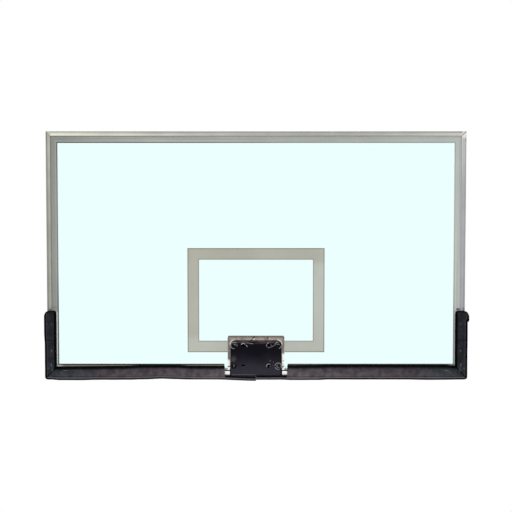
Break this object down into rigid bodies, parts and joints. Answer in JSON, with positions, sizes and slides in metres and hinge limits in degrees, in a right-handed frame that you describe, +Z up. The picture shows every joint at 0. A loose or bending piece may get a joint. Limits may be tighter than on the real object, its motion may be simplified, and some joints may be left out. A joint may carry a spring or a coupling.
{
  "type": "basketball backboard",
  "caption": "Rectangular glass basketball backboard in a mitred aluminium frame, with printed target lines, a steel goal mount set in a notch and edge pads round the lower corners.",
  "frame": {"origin": "centre of the arm bolt pattern, on the rear face of the goal bracket", "axes": "+X to the right as seen from the court, +Y out of the rear towards the support, +Z up; the playing face looks along -Y"},
  "size_m": [1.8206, 0.1073, 1.0673],
  "materials": {
    "frame_aluminium": "satin anodised extrusion",
    "panel_glass": "polished tempered sheet",
    "line_print": "fired ceramic ink",
    "gasket_rubber": "matt extruded rubber",
    "trim_aluminium": "dull anodised section",
    "black_steel": "semi-gloss black powder coat",
    "black_screw_steel": "blackened steel",
    "zinc_steel": "zinc plated",
    "pad_foam": "black integral-skin foam"
  },
  "bodies": {
    "root": {"top_rail": "frame_aluminium", "bottom_rail": "frame_aluminium", "left_stile": "frame_aluminium", "right_stile": "frame_aluminium", "bottom_left_corner_key": "frame_aluminium", "bottom_right_corner_key": "frame_aluminium", "top_left_corner_key": "frame_aluminium", "top_right_corner_key": "frame_aluminium", "corner_key_screws": "zinc_steel", "glass_panel": "panel_glass", "boundary_line": "line_print", "target_square": "line_print", "top_gasket": "gasket_rubber", "left_gasket": "gasket_rubber", "right_gasket": "gasket_rubber", "bottom_left_gasket": "gasket_rubber", "bottom_right_gasket": "gasket_rubber", "setting_blocks": "gasket_rubber", "notch_trim": "trim_aluminium", "notch_gasket": "gasket_rubber", "goal_plate": "black_steel", "goal_plate_screws": "black_screw_steel", "bracket_flange": "black_steel", "bracket_packer": "black_steel", "bracket_left_cheek": "black_steel", "bracket_right_cheek": "black_steel", "bracket_top_web": "black_steel", "bracket_rear_plate": "black_steel", "bolt_bosses": "black_steel", "rail_screws": "zinc_steel", "rail_t_nuts": "zinc_steel", "stay_bolts": "zinc_steel", "left_side_pad": "pad_foam", "right_side_pad": "pad_foam", "left_bottom_pad": "pad_foam", "right_bottom_pad": "pad_foam", "pad_screws": "zinc_steel", "pad_washers": "zinc_steel"}
  },
  "joints": []
}
